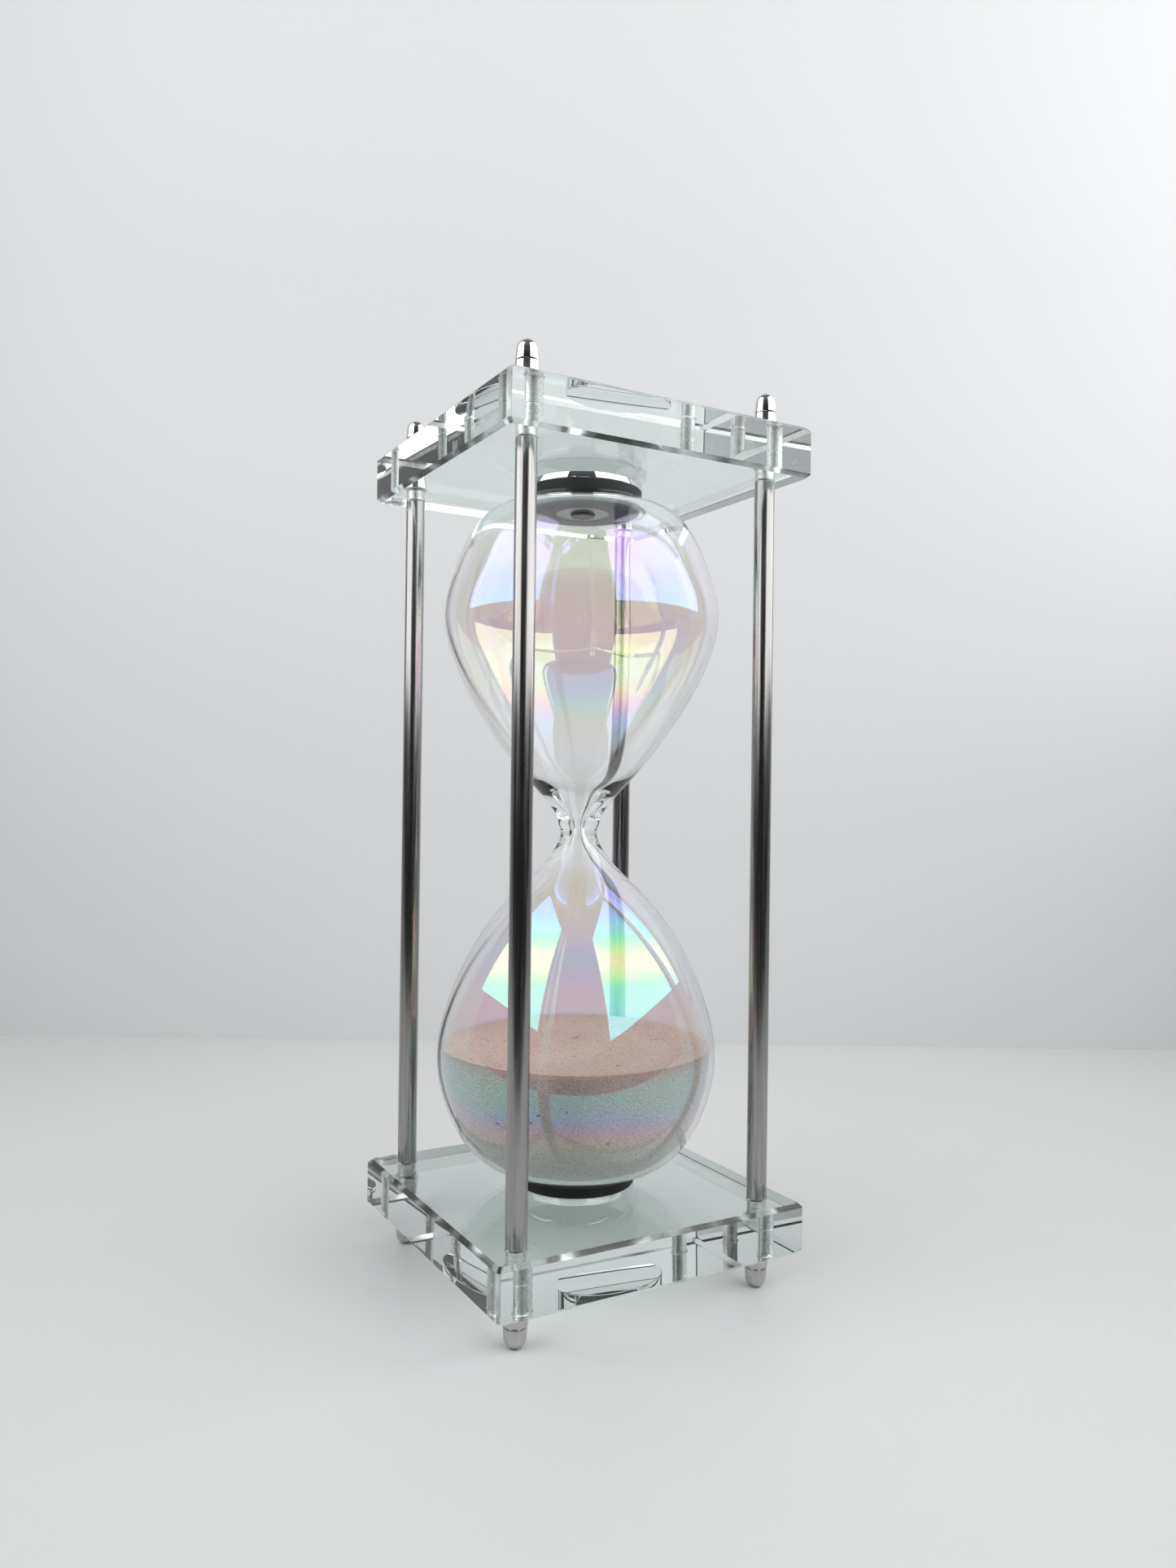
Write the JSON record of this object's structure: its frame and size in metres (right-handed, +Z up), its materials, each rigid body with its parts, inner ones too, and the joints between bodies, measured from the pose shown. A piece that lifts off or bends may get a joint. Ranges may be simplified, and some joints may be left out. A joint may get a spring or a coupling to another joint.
{
  "type": "hourglass",
  "caption": "Hourglass: a blown glass bulb with fine sand between thick clear square plates, held by slim steel rods with domed cap nuts.",
  "frame": {"origin": "on the surface it stands on, under the centre of the plates; the foot tips touch z = 0", "axes": "+Z up along the bulb's axis; X and Y along the sides of the square plates"},
  "size_m": [0.1, 0.1, 0.267],
  "materials": {
    "plate_crystal": "polished clear crystal glass with a faint green edge, ground walls in the bores",
    "bulb_glass": "clear blown glass with a rainbow lustre coating",
    "clear_silicone": "clear, slightly cloudy, glossy",
    "black_rubber": "matt black",
    "white_sand": "fine white glass sand with glittering grains",
    "brushed_steel": "satin steel, finely streaked along the rod",
    "stud_zinc": "plain zinc-plated thread",
    "polished_chrome": "polished mirror plating",
    "satin_steel": "satin turned steel"
  },
  "bodies": {
    "root": {"top_plate": "plate_crystal", "bottom_plate": "plate_crystal", "glass_bulb": "bulb_glass", "fill_plug": "clear_silicone", "sand": "white_sand", "upper_pad": "black_rubber", "lower_pad": "black_rubber", "upper_bead": "clear_silicone", "lower_bead": "clear_silicone", "rod_front": "brushed_steel", "upper_stud_front": "stud_zinc", "lower_stud_front": "stud_zinc", "finial_front": "polished_chrome", "foot_front": "satin_steel", "rod_right": "brushed_steel", "upper_stud_right": "stud_zinc", "lower_stud_right": "stud_zinc", "finial_right": "polished_chrome", "foot_right": "satin_steel", "rod_back": "brushed_steel", "upper_stud_back": "stud_zinc", "lower_stud_back": "stud_zinc", "finial_back": "polished_chrome", "foot_back": "satin_steel", "rod_left": "brushed_steel", "upper_stud_left": "stud_zinc", "lower_stud_left": "stud_zinc", "finial_left": "polished_chrome", "foot_left": "satin_steel"}
  },
  "joints": []
}
